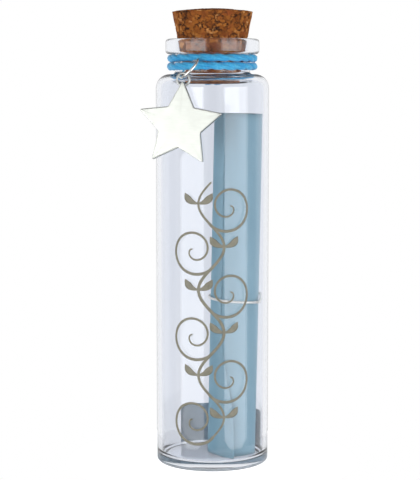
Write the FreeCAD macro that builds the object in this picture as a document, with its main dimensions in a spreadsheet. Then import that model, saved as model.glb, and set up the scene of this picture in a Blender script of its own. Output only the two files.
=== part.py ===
import FreeCAD, Part
import math
import os
import Sketcher

from FreeCAD import Placement, Rotation, Vector

# Message in a bottle: a corked glass vial with twine and a star charm at its neck and a paper roll inside.
# Millimetres, +Z up, origin at the centre of the base, the charm in front on the -Y side.

doc = FreeCAD.newDocument("message_bottle")
sheet = doc.addObject("Spreadsheet::Sheet", "sizes")

SIZES = (
    # Glass
    ("body_radius", 18.5),
    ("body_wall", 1.6),
    ("floor_thickness", 2.4),
    ("base_round", 1.3),
    ("inner_base_round", 2.2),
    ("shoulder_top", 128.2),
    ("shoulder_round", 4.5),
    ("neck_radius", 12.3),
    ("neck_wall", 0.9),
    ("neck_fillet", 0.9),
    ("lip_radius", 15.3),
    ("lip_height", 4.8),
    ("lip_round", 1.0),
    ("mouth_round", 0.8),
    # Cork
    ("cork_taper", 11.2),
    ("cork_depth", 12.9),
    ("cork_proud", 8.9),
    ("cork_crown", 1.1),
    ("cork_edge_round", 0.3),
    ("cork_fit", 0.1),
    # Twine and knot
    ("twine_diameter", 2.1),
    ("twine_clearance", 0.05),
    ("twine_foot", 1.75),
    ("twine_lip_gap", 0.1),
    ("turn_gap", 0.55),
    ("charm_bearing", 147.3),
    ("charm_spread", 35.1),
    ("knot_width", 4.4),
    ("knot_depth", 2.8),
    ("knot_height", 3.4),
    ("knot_round", 0.9),
    ("knot_gap", 0.15),
    ("tail_length", 6.0),
    ("tail_splay", 10.0),
    ("tail_droop", 48.0),
    # Jump ring
    ("ring_outside", 8.6),
    ("ring_wire", 0.75),
    ("ring_turn", 16.0),
    ("ring_pitch", -42.9),
    ("ring_gap", 0.2),
    # Star
    ("star_radius", 13.7),
    ("star_waist", 7.1),
    ("star_thickness", 1.8),
    ("star_edge_round", 0.5),
    ("star_yaw", 11.45),
    ("star_lean", 6.25),
    ("star_roll", 2.84),
    ("eyelet_outside", 4.8),
    ("eyelet_wire", 1.0),
    ("eyelet_sink", 0.6),
    ("star_gap", 0.9),
    ("charm_clearance", 0.2),
    ("hang_clearance", 0.38),
    # Paper roll and its tie
    ("roll_radius", 8.0),
    ("roll_headroom", 11.4),
    ("roll_wall_gap", 0.25),
    ("roll_lean", 1.15),
    ("roll_clearance", 0.1),
    ("paper_thickness", 0.45),
    ("paper_gap", 0.6),
    ("free_edge_turn", 235.0),
    ("tie_wire", 0.8),
    ("tie_height", 51.6),
    ("tie_clearance", 0.2),
    ("tie_pitch", -2.0),
    ("tie_start", 60.0),
    ("tie_overlap", 24.0),
    # Sticker
    ("label_height", 14.0),
    ("label_rise", 0.05),
    ("label_start", -38.6),
    ("label_sweep", 115.6),
    ("label_thickness", 0.15),
    ("label_glue", 0.05),
)
ROLL_HALF_TURNS = 6
STAR_POINTS = 5
# Largest share of a wall that a fillet may take
FILLET_SHARE = 0.9
# How close to an axis a unit tangent lies when its edge runs along that axis
ALIGNED = 0.99
PLACE_TOLERANCE = 1e-4

for row, (alias, value) in enumerate(SIZES, start=1):
    sheet.set("A%d" % row, alias)
    sheet.set("B%d" % row, str(value))
    sheet.setAlias("B%d" % row, alias)
doc.recompute()


def size(alias):
    return float(sheet.get(alias))


def origin_plane(body, role):
    for feature in body.Origin.OriginFeatures:
        if feature.Role == role:
            return feature
    raise RuntimeError("no plane " + role)


def sketch_outline(body, name, role, corners):
    """Closed outline through corners given as pairs of sheet expressions."""
    sketch = body.newObject("Sketcher::SketchObject", name)
    sketch.AttachmentSupport = [(origin_plane(body, role), "")]
    sketch.MapMode = "FlatFace"
    points = [Vector(evaluate(across), evaluate(up), 0) for across, up in corners]
    count = len(points)
    for index in range(count):
        sketch.addGeometry(Part.LineSegment(points[index], points[(index + 1) % count]), False)
    for index in range(count):
        sketch.addConstraint(Sketcher.Constraint("Coincident", index, 2, (index + 1) % count, 1))
    for index, (across, up) in enumerate(corners):
        for kind, text, value in (("DistanceX", across, points[index].x), ("DistanceY", up, points[index].y)):
            number = sketch.addConstraint(Sketcher.Constraint(kind, -1, 1, index, 1, value))
            sketch.setExpression("Constraints[%d]" % number, text)
    return sketch


def evaluate(text):
    """Value of an expression over the sheet's sizes."""
    value = sheet.evalExpression(text)
    return float(getattr(value, "Value", value))


def revolve(body, sketch, axis="V_Axis"):
    turned = body.newObject("PartDesign::Revolution", sketch.Name + "_turned")
    turned.Profile = sketch
    turned.ReferenceAxis = (sketch, [axis])
    turned.Angle = 360
    doc.recompute()
    return turned


def round_edges(body, base, name, radius, places):
    """Fillet the circular edges of base that lie at the given (radius, height) places."""
    names = []
    for index, edge in enumerate(base.Shape.Edges, start=1):
        if not isinstance(edge.Curve, Part.Circle):
            continue
        for across, up in places:
            same_radius = abs(edge.Curve.Radius - across) < PLACE_TOLERANCE
            if same_radius and abs(edge.Curve.Center.z - up) < PLACE_TOLERANCE:
                names.append("Edge%d" % index)
    fillet = body.newObject("PartDesign::Fillet", name)
    fillet.Base = (base, names)
    fillet.setExpression("Radius", radius)
    doc.recompute()
    return fillet


def within(radius, wall):
    """A fillet's radius, limited by the wall that it rounds."""
    return "min(%s; %s * (%s))" % (radius, FILLET_SHARE, wall)


def new_body(label):
    body = doc.addObject("PartDesign::Body", label)
    body.Label = label
    return body


# Glass bottle: one turned profile, its sharp corners rounded afterwards
# The neck is as tall as the two turns of twine need
LIP_BOTTOM = ("sizes.shoulder_top + sizes.twine_foot + 2 * sizes.twine_diameter + sizes.turn_gap"
              " + sizes.twine_lip_gap")
MOUTH = LIP_BOTTOM + " + sizes.lip_height"
BORE = "sizes.neck_radius - sizes.neck_wall"
INNER = "sizes.body_radius - sizes.body_wall"
INNER_SHOULDER = "sizes.shoulder_top - sizes.body_wall"
SHOULDER_STEP = "sizes.body_radius - sizes.neck_radius - sizes.neck_fillet"
INNER_STEP = "(%s) - (%s) - sizes.neck_fillet" % (INNER, BORE)
LIP_STEP = "sizes.lip_radius - sizes.neck_radius"
lip_bottom = evaluate(LIP_BOTTOM)
mouth_height = evaluate(MOUTH)
bore_radius = evaluate(BORE)
inner_radius = evaluate(INNER)
inner_shoulder = evaluate(INNER_SHOULDER)
shoulder_round = evaluate(within("sizes.shoulder_round", SHOULDER_STEP))

bottle = new_body("glass_bottle")
profile = sketch_outline(bottle, "bottle_profile", "XZ_Plane", (
    ("0", "0"),
    ("sizes.body_radius", "0"),
    ("sizes.body_radius", "sizes.shoulder_top"),
    ("sizes.neck_radius", "sizes.shoulder_top"),
    ("sizes.neck_radius", LIP_BOTTOM),
    ("sizes.lip_radius", LIP_BOTTOM),
    ("sizes.lip_radius", MOUTH),
    (BORE, MOUTH),
    (BORE, INNER_SHOULDER),
    (INNER, INNER_SHOULDER),
    (INNER, "sizes.floor_thickness"),
    ("0", "sizes.floor_thickness"),
))
glass = revolve(bottle, profile)
glass = round_edges(bottle, glass, "shoulder", within("sizes.shoulder_round", SHOULDER_STEP),
                    [(size("body_radius"), size("shoulder_top"))])
glass = round_edges(bottle, glass, "inner_shoulder",
                    within("sizes.shoulder_round - sizes.body_wall", INNER_STEP),
                    [(inner_radius, inner_shoulder)])
glass = round_edges(bottle, glass, "base", "sizes.base_round", [(size("body_radius"), 0)])
glass = round_edges(bottle, glass, "inner_base", "sizes.inner_base_round",
                    [(inner_radius, size("floor_thickness"))])
glass = round_edges(bottle, glass, "neck_root", "sizes.neck_fillet",
                    [(size("neck_radius"), size("shoulder_top")), (bore_radius, inner_shoulder)])
glass = round_edges(bottle, glass, "lip", within("sizes.lip_round", LIP_STEP),
                    [(size("lip_radius"), lip_bottom), (size("lip_radius"), mouth_height)])
glass = round_edges(bottle, glass, "mouth", "sizes.mouth_round", [(bore_radius, mouth_height)])

# Cork: a cone that meets the rounded mouth edge all round
TAPER = "tan(sizes.cork_taper * 1deg)"
MOUTH_RADIUS = ("(%s + sizes.mouth_round * (1 + %s) - (sizes.mouth_round + sizes.cork_fit) / "
                "cos(sizes.cork_taper * 1deg))" % (BORE, TAPER))
CORK_BOTTOM = "(%s - sizes.cork_depth)" % MOUTH
CORK_TOP = "(%s + sizes.cork_proud)" % MOUTH
CORK_LOW_RADIUS = "%s - sizes.cork_depth * %s" % (MOUTH_RADIUS, TAPER)
CORK_TOP_RADIUS = "%s + sizes.cork_proud * %s" % (MOUTH_RADIUS, TAPER)

# The crown is a low dome, with a corner part of the way out and up
DOME_OUT = 0.55
DOME_UP = 0.7

cork = new_body("cork_stopper")
cork_profile = sketch_outline(cork, "cork_profile", "XZ_Plane", (
    ("0", CORK_BOTTOM),
    (CORK_LOW_RADIUS, CORK_BOTTOM),
    (CORK_TOP_RADIUS, CORK_TOP),
    ("%s * (%s)" % (DOME_OUT, CORK_TOP_RADIUS), "%s + %s * sizes.cork_crown" % (CORK_TOP, DOME_UP)),
    ("0", CORK_TOP + " + sizes.cork_crown"),
))
stopper = revolve(cork, cork_profile)
round_edges(cork, stopper, "cork_edges", "sizes.cork_edge_round", [
    (evaluate(CORK_LOW_RADIUS), evaluate(CORK_BOTTOM)),
    (evaluate(CORK_TOP_RADIUS), evaluate(CORK_TOP)),
])


# Tubes that follow a chain of arcs and straight ends
def biarc(start, leaving, end, arriving):
    """Two arcs that join start to end with the given tangents."""
    across = end - start
    both = leaving + arriving
    quad = 2 * (1 - leaving.dot(arriving))
    half = across.dot(both)
    if abs(quad) < 1e-9:
        reach = across.dot(across) / (2 * half)
    else:
        reach = (math.sqrt(half * half + quad * across.dot(across)) - half) / quad
    middle = (start + end + (leaving - arriving) * reach) * 0.5
    edges = []
    for first, second, tangent in ((start, middle, leaving), (end, middle, arriving * -1)):
        chord = second - first
        turn = tangent.getAngle(chord)
        if turn < 1e-6:
            edges.append(Part.LineSegment(first, second).toShape())
            continue
        side = (chord - tangent * chord.dot(tangent)).normalize()
        radius = chord.Length / (2 * math.sin(turn))
        centre = first + side * radius
        crown = centre + ((first + second) * 0.5 - centre).normalize() * radius
        if turn > math.pi / 2:
            crown = centre - ((first + second) * 0.5 - centre).normalize() * radius
        ends = (first, crown, second) if tangent == leaving else (second, crown, first)
        edges.append(Part.Arc(*ends).toShape())
    return edges


def tube(stations, diameter, run):
    """Round tube through (point, tangent) stations, with a straight run at each end."""
    first, first_way = stations[0]
    last, last_way = stations[-1]
    edges = [Part.LineSegment(first - first_way * run, first).toShape()]
    for (start, leaving), (end, arriving) in zip(stations, stations[1:]):
        edges += biarc(start, leaving, end, arriving)
    edges.append(Part.LineSegment(last, last + last_way * run).toShape())
    path = Part.Wire(edges)
    ring = Part.Circle(first - first_way * run, first_way, diameter / 2).toShape()
    return path, path.makePipeShell([Part.Wire([ring])], True, False)


def self_gap(path, diameter, step=0.5):
    """Least clear distance between stretches of a tube that are not neighbours along it."""
    points = path.discretize(Distance=step)
    apart = int(math.ceil(math.pi * diameter / step))
    least = min(points[i].distanceToPoint(points[j])
                for i in range(len(points)) for j in range(i + apart, len(points)))
    return least - diameter


def on_circle(radius, bearing, height):
    """Point at a bearing in degrees, counted from the back towards the left."""
    angle = math.radians(bearing)
    return Vector(-radius * math.sin(angle), radius * math.cos(angle), height)


def along_circle(bearing, climb=0.0):
    """Unit tangent at a bearing, rising by climb per unit of length."""
    angle = math.radians(bearing)
    return Vector(-math.cos(angle), -math.sin(angle), climb).normalize()


def add_solid(label, shape, placement=None):
    feature = doc.addObject("Part::Feature", label)
    feature.Label = label
    feature.Shape = shape
    if placement:
        feature.Placement = placement
    return feature


# Charm: the ring is threaded on the lower turn and the star hangs from the ring, clear of the body.
# The lower turn stands off the neck as far as that needs.
twine = size("twine_diameter")
turn_radius = size("neck_radius") + size("twine_clearance") + twine / 2
lower_turn = size("shoulder_top") + size("twine_foot") + twine / 2
upper_turn = lower_turn + twine + size("turn_gap")
charm_bearing = size("charm_bearing")
clearance = size("charm_clearance")


def tilted(turn, pitch):
    """Unit direction at a turn about +Z from +X and a pitch above level, both in degrees."""
    level = math.cos(math.radians(pitch))
    return Vector(level * math.cos(math.radians(turn)), level * math.sin(math.radians(turn)),
                  math.sin(math.radians(pitch)))


# Where the ring's centre hangs from the twine, in shares of the room inside the ring
RING_OUT = 0.60
RING_ALONG = 1.01
RING_DROP = 0.485
ring_mean = (size("ring_outside") - size("ring_wire")) / 2
ring_hold = ring_mean - size("ring_wire") / 2 - twine / 2 - clearance
ring_turned = Rotation(Vector(0, 0, 1), tilted(size("ring_turn"), size("ring_pitch")))
outward = on_circle(1, charm_bearing, 0)
ring_shift = outward * RING_OUT + along_circle(charm_bearing) * RING_ALONG - Vector(0, 0, RING_DROP)

star_facing = tilted(-90 - size("star_yaw"), size("star_lean"))
star_level = Vector(0, 0, 1).cross(star_facing).normalize()
star_right = Rotation(star_facing, size("star_roll") * -1).multVec(star_level)
star_up = star_facing.cross(star_right)
eyelet_hole = size("eyelet_outside") / 2 - size("eyelet_wire")
eyelet_height = size("star_radius") + eyelet_hole - size("eyelet_sink")


def charm_places(lift):
    """Ring centre, point where the star hangs, and star centre, for a lower turn lifted off the neck."""
    seat = on_circle(turn_radius + lift, charm_bearing, lower_turn)
    ring_at = seat + ring_shift * ring_hold
    hang = ring_at + ring_turned.multVec(Vector(ring_mean, 0, 0))
    eyelet_at = hang - star_up * (eyelet_hole - size("ring_wire") / 2 - size("hang_clearance"))
    return ring_at, hang, eyelet_at - star_up * eyelet_height


def shoulder_gap(point):
    """How far a point lies from the rounded shoulder of the bottle."""
    across = math.hypot(point.x, point.y) - size("body_radius") + shoulder_round
    up = point.z - size("shoulder_top") + shoulder_round
    return math.hypot(max(across, 0), max(up, 0)) - shoulder_round


def upper_turn_gap(point):
    """How far a point lies from the upper turn of the twine."""
    return math.hypot(math.hypot(point.x, point.y) - turn_radius, point.z - upper_turn) - twine / 2


def ring_room(lift):
    """Least distance from the ring's wire to the shoulder and the upper turn, for a lifted lower turn."""
    ring_at = charm_places(lift)[0]
    wire = [ring_at + ring_turned.multVec(tilted(turn, 0) * ring_mean) for turn in range(0, 360, 5)]
    return min(min(shoulder_gap(point), upper_turn_gap(point)) for point in wire) - size("ring_wire") / 2


# The lift is what the star needs to clear the body, and more where the ring needs it for its own room
LIFT_STEP = 0.05
STAR_ARM_RISE = 18.0
star_arms = charm_places(0)[2].z + size("star_radius") * math.sin(math.radians(STAR_ARM_RISE))
level_facing = math.hypot(star_facing.x, star_facing.y)
body_reach = size("body_radius") * level_facing + star_arms * star_facing.z
star_reach = body_reach + size("star_gap") + size("star_thickness") / 2
charm_lift = max(0.0, (star_reach - charm_places(0)[2].dot(star_facing)) / outward.dot(star_facing))
while ring_room(charm_lift) < size("ring_gap"):
    charm_lift += LIFT_STEP
ring_centre, hang_point, star_centre = charm_places(charm_lift)
print("charm: lower turn lifted %.2f mm, ring at %s, hang point %s" % (charm_lift, ring_centre, hang_point))
print("star faces %s" % star_facing)

# Twine: two turns under the lip, crossing beneath the knot at the back
crossing = (upper_turn + lower_turn) / 2
knot_radius = turn_radius + twine / 2 + size("knot_gap") + size("knot_depth") / 2
knot_half = size("knot_width") / 2
ENTRY = 62.0
CLIMB = 42.0
STEEPEST = 1.5
climb_run = turn_radius * math.radians(2 * CLIMB)
crossing_climb = STEEPEST * (upper_turn - lower_turn) / climb_run
left_entry = Vector(-knot_half - twine, knot_radius, crossing)
right_entry = Vector(knot_half + twine, knot_radius, crossing)


def level_station(radius, bearing, height):
    return on_circle(radius, bearing, height), along_circle(bearing)


# The lower turn swings out over a bearing that grows with the root of its lift, so its bend stays the same
spread = size("charm_spread") * math.sqrt(charm_lift)
twine_stations = [
    (left_entry, Vector(-1, 0, 0)),
    level_station(turn_radius, ENTRY, lower_turn),
    level_station(turn_radius, charm_bearing - spread, lower_turn),
    level_station(turn_radius + charm_lift, charm_bearing, lower_turn),
    level_station(turn_radius, charm_bearing + spread, lower_turn),
    level_station(turn_radius, 360 - CLIMB, lower_turn),
    (on_circle(turn_radius, 360, crossing), along_circle(360, crossing_climb)),
    level_station(turn_radius, 360 + CLIMB, upper_turn),
    level_station(turn_radius, 540, upper_turn),
    level_station(turn_radius, 720 - ENTRY, upper_turn),
    (right_entry, Vector(-1, 0, 0)),
]
twine_path, twine_tube = tube(twine_stations, twine, twine)
add_solid("neck_twine", twine_tube)
print("twine: length %.1f mm, least gap to itself %.2f mm" % (twine_path.Length, self_gap(twine_path, twine)))

# Knot: a rounded lump over the crossing, with two cut tails
knot_block = doc.addObject("Part::Box", "knot_block")
knot_block.setExpression("Length", "sizes.knot_width")
knot_block.setExpression("Width", "sizes.knot_depth")
knot_block.setExpression("Height", "sizes.knot_height")
knot_block.Placement = Placement(
    Vector(-knot_half, knot_radius - size("knot_depth") / 2, crossing - size("knot_height") / 2), Rotation())
knot_lump = doc.addObject("Part::Fillet", "knot_lump")
knot_lump.Base = knot_block
doc.recompute()
long_edges = [index for index, edge in enumerate(knot_block.Shape.Edges, start=1)
              if abs(edge.tangentAt(edge.FirstParameter).x) > ALIGNED]
knot_lump.Edges = [(index, size("knot_round"), size("knot_round")) for index in long_edges]
tails = []
for name, side in (("tail_left", -1), ("tail_right", 1)):
    tail = doc.addObject("Part::Cylinder", name)
    tail.setExpression("Radius", "sizes.twine_diameter / 2")
    tail.setExpression("Height", "sizes.tail_length")
    splay = Rotation(Vector(0, 0, 1), -side * size("tail_splay"))
    droop = Rotation(Vector(1, 0, 0), -90 - size("tail_droop"))
    tail_out = side * (knot_half - twine / 2 - size("knot_gap"))
    tail.Placement = Placement(Vector(tail_out, knot_radius, crossing), splay * droop)
    tails.append(tail)
knot = doc.addObject("Part::MultiFuse", "twine_knot")
knot.Label = "twine_knot"
knot.Shapes = [knot_lump] + tails
doc.recompute()

# Jump ring
ring = doc.addObject("Part::Torus", "jump_ring")
ring.Label = "jump_ring"
ring.setExpression("Radius1", "(sizes.ring_outside - sizes.ring_wire) / 2")
ring.setExpression("Radius2", "sizes.ring_wire / 2")
ring.Placement = Placement(ring_centre, ring_turned)

# Star: a rounded plate with its eyelet on the top point
star = new_body("star_charm")


def star_corner(index):
    reach = "sizes.star_radius" if index % 2 == 0 else "sizes.star_waist"
    angle = 90 + 180 / STAR_POINTS * index
    return ("%s * cos(%ddeg)" % (reach, angle), "%s * sin(%ddeg)" % (reach, angle))


star_corners = [star_corner(index) for index in range(2 * STAR_POINTS)]
star_sketch = sketch_outline(star, "star_outline", "XY_Plane", star_corners)
plate = star.newObject("PartDesign::Pad", "plate")
plate.Profile = star_sketch
plate.setExpression("Length", "sizes.star_thickness")
plate.Midplane = True
doc.recompute()
rims = [("Edge%d" % index) for index, edge in enumerate(plate.Shape.Edges, start=1)
        if abs(edge.tangentAt(edge.FirstParameter).z) < ALIGNED]
softened = star.newObject("PartDesign::Fillet", "softened")
softened.Base = (plate, rims)
softened.setExpression("Radius", "sizes.star_edge_round")
doc.recompute()
eyelet = star.newObject("PartDesign::AdditiveTorus", "eyelet")
eyelet.setExpression("Radius1", "(sizes.eyelet_outside - sizes.eyelet_wire) / 2")
eyelet.setExpression("Radius2", "sizes.eyelet_wire / 2")
eyelet.AttachmentSupport = [(origin_plane(star, "XY_Plane"), "")]
eyelet.MapMode = "FlatFace"
eyelet.setExpression("AttachmentOffset.Base.y",
                     "sizes.star_radius + sizes.eyelet_outside / 2 - sizes.eyelet_wire - sizes.eyelet_sink")
doc.recompute()

star.Placement = Placement(star_centre, Rotation(star_right, star_up, star_facing, "XYZ"))

# Paper roll: a spiral sheet of half circles, leaning on the right wall of the bottle
pitch = size("paper_thickness") + size("paper_gap")


def spiral_edges(shrink):
    """Half circles from the outer end inwards, clockwise from above, on two centres in turn."""
    edges = []
    for index in range(ROLL_HALF_TURNS):
        radius = size("roll_radius") - shrink - index * pitch / 2
        centre = Vector(0, 0, 0) if index % 2 == 0 else Vector(-pitch / 2, 0, 0)
        side = 1 if index % 2 == 0 else -1
        edges.append(Part.Arc(centre + Vector(side * radius, 0, 0), centre - Vector(0, side * radius, 0),
                              centre - Vector(side * radius, 0, 0)).toShape())
    return edges


outer_edges = spiral_edges(0)
inner_edges = spiral_edges(size("paper_thickness"))


def ends(edges):
    return edges[0].firstVertex(True).Point, edges[-1].lastVertex(True).Point


outer_first, outer_last = ends(outer_edges)
inner_first, inner_last = ends(inner_edges)
sheet_ends = [Part.makeLine(outer_first, inner_first), Part.makeLine(outer_last, inner_last)]
sheet_outline = Part.Wire(Part.__sortEdges__(outer_edges + inner_edges + sheet_ends))
sheet_face = Part.Face(sheet_outline)
lean = Rotation(Vector(0, 1, 0), size("roll_lean"))
foot_drop = size("roll_radius") * math.sin(math.radians(size("roll_lean")))
roll_length = inner_shoulder - size("roll_headroom") - size("floor_thickness")
roll_slant = roll_length * math.sin(math.radians(size("roll_lean")))
roll_offset = inner_radius - size("roll_wall_gap") - size("roll_radius") - roll_slant
roll_foot = Vector(roll_offset, 0, size("floor_thickness") + size("roll_clearance") + foot_drop)
print("roll: length %.1f mm, foot at %s" % (roll_length, roll_foot))
scroll_turn = Rotation(Vector(0, 0, 1), size("free_edge_turn"))
add_solid("message_scroll", sheet_face.extrude(Vector(0, 0, roll_length)),
          Placement(roll_foot, lean * scroll_turn))

# Tie: a little more than one turn of wire round the roll, its ends passing each other
tie_radius = size("roll_radius") + size("tie_clearance") + size("tie_wire") / 2
tie_sweep = 360 + size("tie_overlap")
tie_rise = size("tie_pitch") * tie_sweep / 360
TIE_STEPS = 5
tie_slope = size("tie_pitch") / (2 * math.pi * tie_radius)
tie_stations = []
for step in range(TIE_STEPS + 1):
    bearing = 180 + size("tie_start") + tie_sweep * step / TIE_STEPS
    height = tie_rise * (step / TIE_STEPS - 0.5)
    tie_stations.append((on_circle(tie_radius, bearing, height), along_circle(bearing, tie_slope)))
tie_path, tie_tube = tube(tie_stations, size("tie_wire"), size("tie_wire"))
tie_place = roll_foot + lean.multVec(Vector(0, 0, size("tie_height")))
add_solid("scroll_tie", tie_tube, Placement(tie_place, lean))
tie_gap = self_gap(tie_path, size("tie_wire"))
print("tie: length %.1f mm, least gap to itself %.2f mm" % (tie_path.Length, tie_gap))

# Sticker: a thin patch on the back of the glass, just above the rounded base
label_bottom = size("base_round") + size("label_rise")
label_outer = doc.addObject("Part::Cylinder", "label_outer")
label_outer.setExpression("Radius", "sizes.body_radius + sizes.label_glue + sizes.label_thickness")
label_inner = doc.addObject("Part::Cylinder", "label_inner")
label_inner.setExpression("Radius", "sizes.body_radius + sizes.label_glue")
for cylinder in (label_outer, label_inner):
    cylinder.setExpression("Height", "sizes.label_height")
    cylinder.setExpression("Angle", "sizes.label_sweep")
    first_edge = 90 - size("label_start") - size("label_sweep")
    cylinder.Placement = Placement(Vector(0, 0, label_bottom), Rotation(Vector(0, 0, 1), first_edge))
label = doc.addObject("Part::Cut", "back_label")
label.Label = "back_label"
label.Base = label_outer
label.Tool = label_inner
doc.recompute()

NODES = ("glass_bottle", "cork_stopper", "neck_twine", "twine_knot", "jump_ring", "star_charm",
         "message_scroll", "scroll_tie", "back_label")
for item in doc.Objects:
    if "Invalid" in item.State or "Error" in item.State:
        raise RuntimeError("%s did not build: %s" % (item.Label, item.State))
solids = {}
for node in NODES:
    shape = doc.getObjectsByLabel(node)[0].Shape
    if shape.isNull() or not shape.isValid() or not shape.Solids:
        raise RuntimeError(node + " has no valid solid")
    solids[node] = shape
os.makedirs("parts", exist_ok=True)
for node, shape in solids.items():
    shape.exportStep("parts/%s.step" % node)
    print("%s: %d solid, %.1f mm3" % (node, len(shape.Solids), shape.Volume))
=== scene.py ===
import math
import random

import bmesh
import bpy
from mathutils import Matrix, Vector, noise


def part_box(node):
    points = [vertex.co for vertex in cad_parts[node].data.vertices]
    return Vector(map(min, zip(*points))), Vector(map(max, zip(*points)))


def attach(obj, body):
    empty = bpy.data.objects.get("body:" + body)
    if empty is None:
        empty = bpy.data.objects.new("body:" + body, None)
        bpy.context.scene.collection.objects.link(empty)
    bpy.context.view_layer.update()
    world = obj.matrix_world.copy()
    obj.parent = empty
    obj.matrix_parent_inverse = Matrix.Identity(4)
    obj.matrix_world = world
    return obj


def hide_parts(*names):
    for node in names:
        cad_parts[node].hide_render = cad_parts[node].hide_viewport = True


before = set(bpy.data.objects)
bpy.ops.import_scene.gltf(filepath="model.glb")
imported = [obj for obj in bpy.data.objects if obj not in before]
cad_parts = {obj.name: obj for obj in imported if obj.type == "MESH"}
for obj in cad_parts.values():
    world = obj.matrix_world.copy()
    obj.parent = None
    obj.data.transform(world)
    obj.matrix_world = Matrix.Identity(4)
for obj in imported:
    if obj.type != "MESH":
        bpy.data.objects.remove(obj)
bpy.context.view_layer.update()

# Message in a bottle: the looks of the glass, cork, twine, charm, paper roll, wire tie and sticker.
# Metres, +Z up, the charm in front on the -Y side. Sizes are written in millimetres times MM.

MM = 0.001
FULL_TURN = 2 * math.pi
# Points closer than this become one
WELD = 0.001 * MM
# Bevels are even arcs
ROUND_PROFILE = 0.5
CORNER_STEPS = 8
CURVE_ORDER = 3
LINE_STEPS = 8


# Helpers for meshes

def ease(share):
    """Smooth step from 0 to 1."""
    share = max(0.0, min(1.0, share))
    return share * share * (3 - 2 * share)


def piece_of(bm, name, body, nodes=()):
    """A finished piece of the object, made from a bmesh that is already in place."""
    for face in bm.faces:
        face.smooth = True
    mesh = bpy.data.meshes.new(name)
    bm.to_mesh(mesh)
    bm.free()
    piece = bpy.data.objects.new(name, mesh)
    bpy.context.scene.collection.objects.link(piece)
    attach(piece, body)
    if nodes:
        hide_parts(*nodes)
    return piece


def turned(corners, steps, cut):
    """Surface turned about the Z axis from (radius, height, rounding) corners, long runs cut to a length."""
    bm = bmesh.new()
    verts = [bm.verts.new((radius, 0, height)) for radius, height, _ in corners]
    for first, second in zip(verts, verts[1:]):
        bm.edges.new((first, second))
    for vert, (_, _, rounding) in zip(verts, corners):
        if rounding:
            bmesh.ops.bevel(bm, geom=[vert], offset=rounding, offset_type="OFFSET", affect="VERTICES",
                            segments=CORNER_STEPS, profile=ROUND_PROFILE, material=-1)
    for edge in list(bm.edges):
        cuts = int(edge.calc_length() / cut)
        if cuts:
            bmesh.ops.subdivide_edges(bm, edges=[edge], cuts=cuts)
    bmesh.ops.spin(bm, geom=bm.verts[:] + bm.edges[:], cent=(0, 0, 0), axis=(0, 0, 1), angle=FULL_TURN,
                   steps=steps, use_merge=True)
    bmesh.ops.remove_doubles(bm, verts=bm.verts, dist=WELD)
    bmesh.ops.recalc_face_normals(bm, faces=bm.faces)
    return bm


def mesh_of_curve(splines, fine, thickness=0.0, sides=2):
    """Mesh of smooth lines that follow control points, as round tubes where a thickness is given.

    A point's fourth value, where it has one, scales the thickness there.
    """
    curve = bpy.data.curves.new("line", "CURVE")
    curve.dimensions = "3D"
    curve.resolution_u = fine
    curve.bevel_depth = thickness
    curve.bevel_resolution = sides
    curve.use_fill_caps = True
    for points in splines:
        spline = curve.splines.new("NURBS")
        spline.points.add(len(points) - 1)
        for knot, place in zip(spline.points, points):
            knot.co = (place[0], place[1], place[2], 1)
            knot.radius = place[3] if len(place) > 3 else 1
        spline.order_u = CURVE_ORDER
        spline.use_endpoint_u = True
    line = bpy.data.objects.new("line", curve)
    mesh = bpy.data.meshes.new_from_object(line)
    bpy.data.objects.remove(line)
    bpy.data.curves.remove(curve)
    return mesh


def smooth_line(points):
    """Points along one smooth line that follows the control points."""
    mesh = mesh_of_curve([points], LINE_STEPS)
    line = [vert.co.copy() for vert in mesh.vertices]
    bpy.data.meshes.remove(mesh)
    return line


def add_tubes(bm, splines, thickness, sides=2, fine=2):
    """Adds round tubes along smooth lines."""
    mesh = mesh_of_curve(splines, fine, thickness, sides)
    bm.from_mesh(mesh)
    bpy.data.meshes.remove(mesh)


# Helpers for finishes

def shade(red, green, blue):
    """Colour of a surface from the 0 to 255 values that it shows on a screen."""
    def linear(value):
        value = value / 255
        return value / 12.92 if value <= 0.04045 else ((value + 0.055) / 1.055) ** 2.4
    return (linear(red), linear(green), linear(blue), 1.0)


def new_finish(name, **sockets):
    material = bpy.data.materials.new(name)
    material.use_nodes = True
    shader = material.node_tree.nodes["Principled BSDF"]
    for socket, value in sockets.items():
        shader.inputs[socket.replace("_", " ")].default_value = value
    return material, material.node_tree, shader


def add_node(tree, kind, inputs=None, **settings):
    node = tree.nodes.new("ShaderNode" + kind)
    for key, value in settings.items():
        setattr(node, key, value)
    for key, value in (inputs or {}).items():
        if isinstance(value, bpy.types.NodeSocket):
            tree.links.new(value, node.inputs[key])
        else:
            node.inputs[key].default_value = value
    return node


def compute(tree, operation, *values):
    """Result of a math node."""
    return add_node(tree, "Math", dict(enumerate(values)), operation=operation).outputs[0]


def blend(tree, kind, factor, first, second):
    """Mix of two numbers (FLOAT) or two colours (RGBA)."""
    sides = {"Factor": factor, "A": first, "B": second}
    return add_node(tree, "Mix", sides, data_type=kind).outputs["Result"]


def add_ramp(tree, factor, stops):
    node = tree.nodes.new("ShaderNodeValToRGB")
    tree.links.new(factor, node.inputs["Fac"])
    while len(node.color_ramp.elements) < len(stops):
        node.color_ramp.elements.new(0.5)
    for element, (place, colour) in zip(node.color_ramp.elements, stops):
        element.position = place
        element.color = colour if hasattr(colour, "__len__") else (colour, colour, colour, 1)
    return node.outputs["Color"]


def add_noise(tree, vector, scale, detail):
    return add_node(tree, "TexNoise", {"Vector": vector, "Scale": scale, "Detail": detail}).outputs["Fac"]


def object_place(tree, stretch=(1, 1, 1)):
    """The piece's own coordinates, in metres, stretched along its axes."""
    place = add_node(tree, "TexCoord").outputs["Object"]
    return add_node(tree, "Mapping", {"Vector": place, "Scale": stretch}).outputs["Vector"]


def add_bump(tree, shader, height, depth, strength):
    bump = add_node(tree, "Bump", {"Height": height, "Distance": depth, "Strength": strength})
    tree.links.new(bump.outputs["Normal"], shader.inputs["Normal"])


# Finishes

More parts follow.
